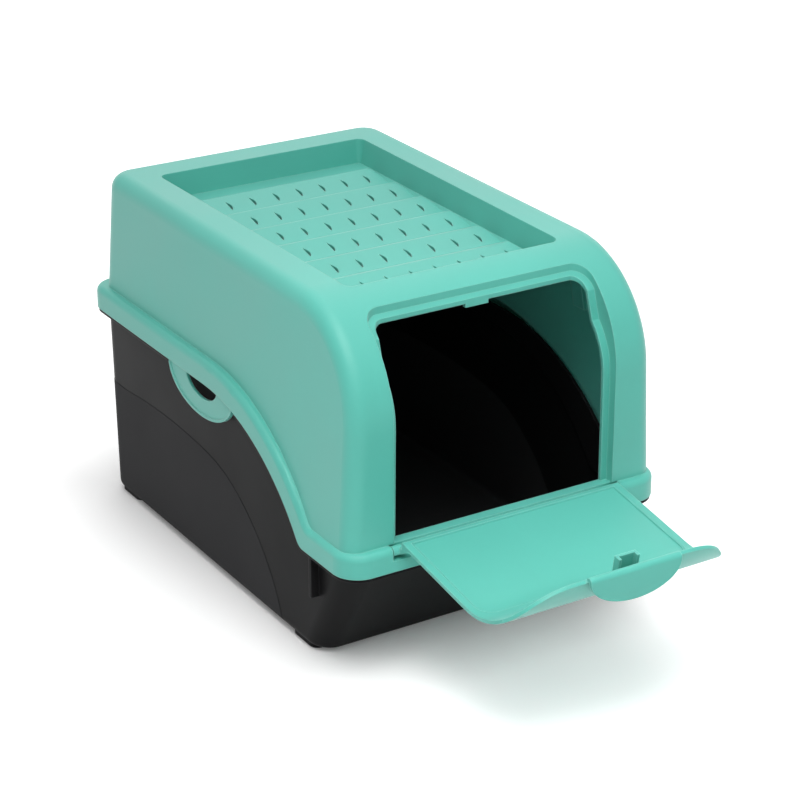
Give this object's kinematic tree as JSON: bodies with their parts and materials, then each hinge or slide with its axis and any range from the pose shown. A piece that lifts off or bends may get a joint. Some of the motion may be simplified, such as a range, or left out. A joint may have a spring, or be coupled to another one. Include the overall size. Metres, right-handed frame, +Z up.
{
  "type": "potato storage bin",
  "caption": "Two-part plastic vegetable storage bin: dark tub, vented lift-off hood with a roof tray and a drop-down front flap.",
  "frame": {"origin": "on the floor, under the middle of the whole bin with its flap open", "axes": "+X to the right as seen from the front, +Y towards its back, +Z up; the flap opens towards -Y"},
  "size_m": [0.2396, 0.4924, 0.2424],
  "materials": {
    "tub_plastic": "fine grain",
    "hood_plastic": "satin"
  },
  "bodies": {
    "tub": {"base_tub": "tub_plastic"},
    "hood": {"hood": "hood_plastic"},
    "flap": {"flap_door": "hood_plastic"},
    "clip_left": {"left_clip": "hood_plastic"},
    "clip_right": {"right_clip": "hood_plastic"}
  },
  "joints": [
    {"name": "hood_lift", "type": "slide", "parent": "tub", "child": "hood", "axis": [0, 0, 1], "range_m": [0, 0.12]},
    {"name": "flap_hinge", "type": "hinge", "parent": "hood", "child": "flap", "pos_m": [0, -0.1108, 0.0899], "axis": [-1, 0, 0], "range_deg": [0, 99]},
    {"name": "left_clip_hinge", "type": "hinge", "parent": "hood", "child": "clip_left", "pos_m": [-0.1149, 0.0772, 0.146], "axis": [0, 1, 0], "range_deg": [0, 4], "stiffness_Nm_per_rad": 0.05},
    {"name": "right_clip_hinge", "type": "hinge", "parent": "hood", "child": "clip_right", "pos_m": [0.1149, 0.0772, 0.146], "axis": [0, -1, 0], "range_deg": [0, 4], "stiffness_Nm_per_rad": 0.05}
  ]
}
